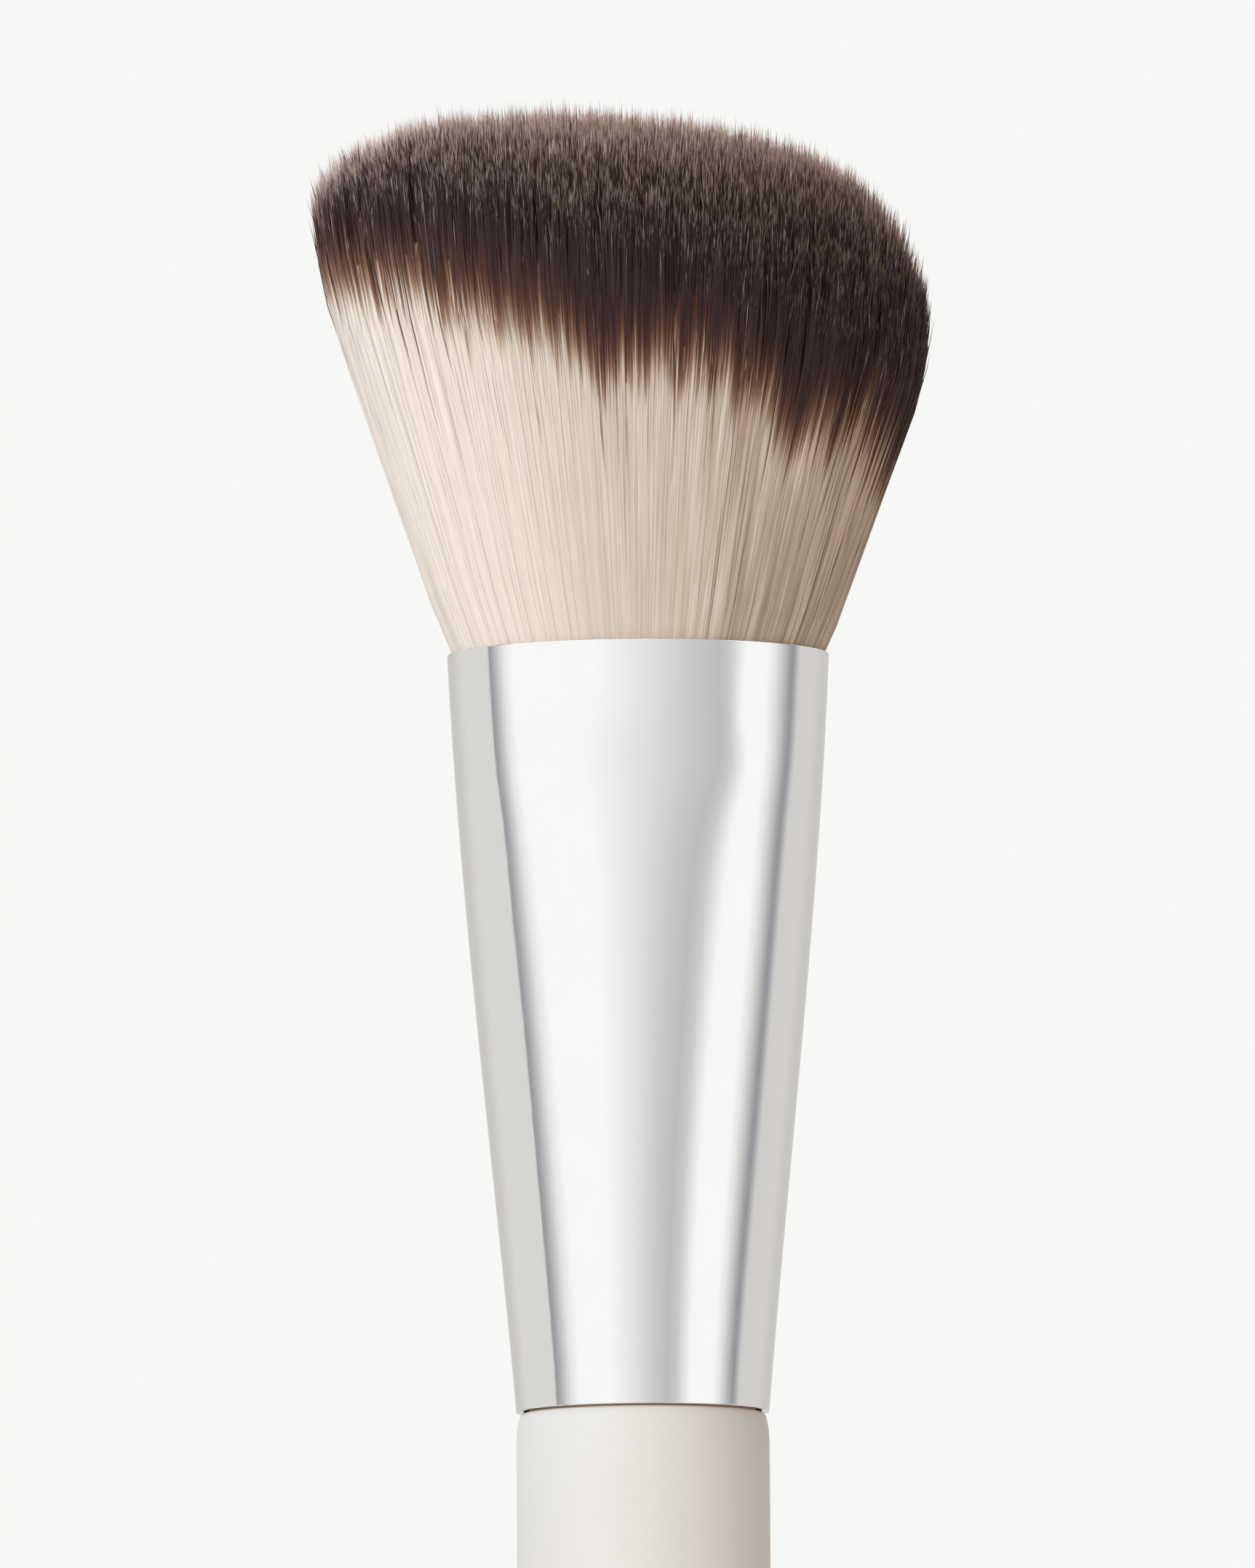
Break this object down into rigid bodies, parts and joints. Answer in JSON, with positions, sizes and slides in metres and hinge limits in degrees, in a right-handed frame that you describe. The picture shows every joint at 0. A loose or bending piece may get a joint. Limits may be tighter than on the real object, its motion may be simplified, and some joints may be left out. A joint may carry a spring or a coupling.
{
  "type": "sculpting brush",
  "caption": "Make-up brush for sculpting and bronzing: slanted, domed head of two-tone filaments in a bright flared ferrule on a round matt off-white handle.",
  "frame": {"origin": "middle of the handle's flat butt face", "axes": "+Z along the handle towards the head, +X along the wide side of the ferrule's mouth towards the short side of the slanted head, +Y through its narrow side"},
  "size_m": [0.0327, 0.0238, 0.1655],
  "materials": {
    "matt_lacquer": "matt off-white lacquer",
    "bright_metal": "bright polished, clear",
    "filament": "cream tapered synthetic filament, dyed dark brown towards its tips, with pale see-through ends",
    "potting_resin": "set amber resin, full of filament ends",
    "waxed_thread": "waxed, wound flat",
    "adhesive": "set adhesive"
  },
  "bodies": {
    "root": {"handle": "matt_lacquer", "ferrule": "bright_metal", "tuft": "filament", "potted_root": "potting_resin", "binding_thread": "waxed_thread", "tenon_glue": "adhesive"}
  },
  "joints": []
}
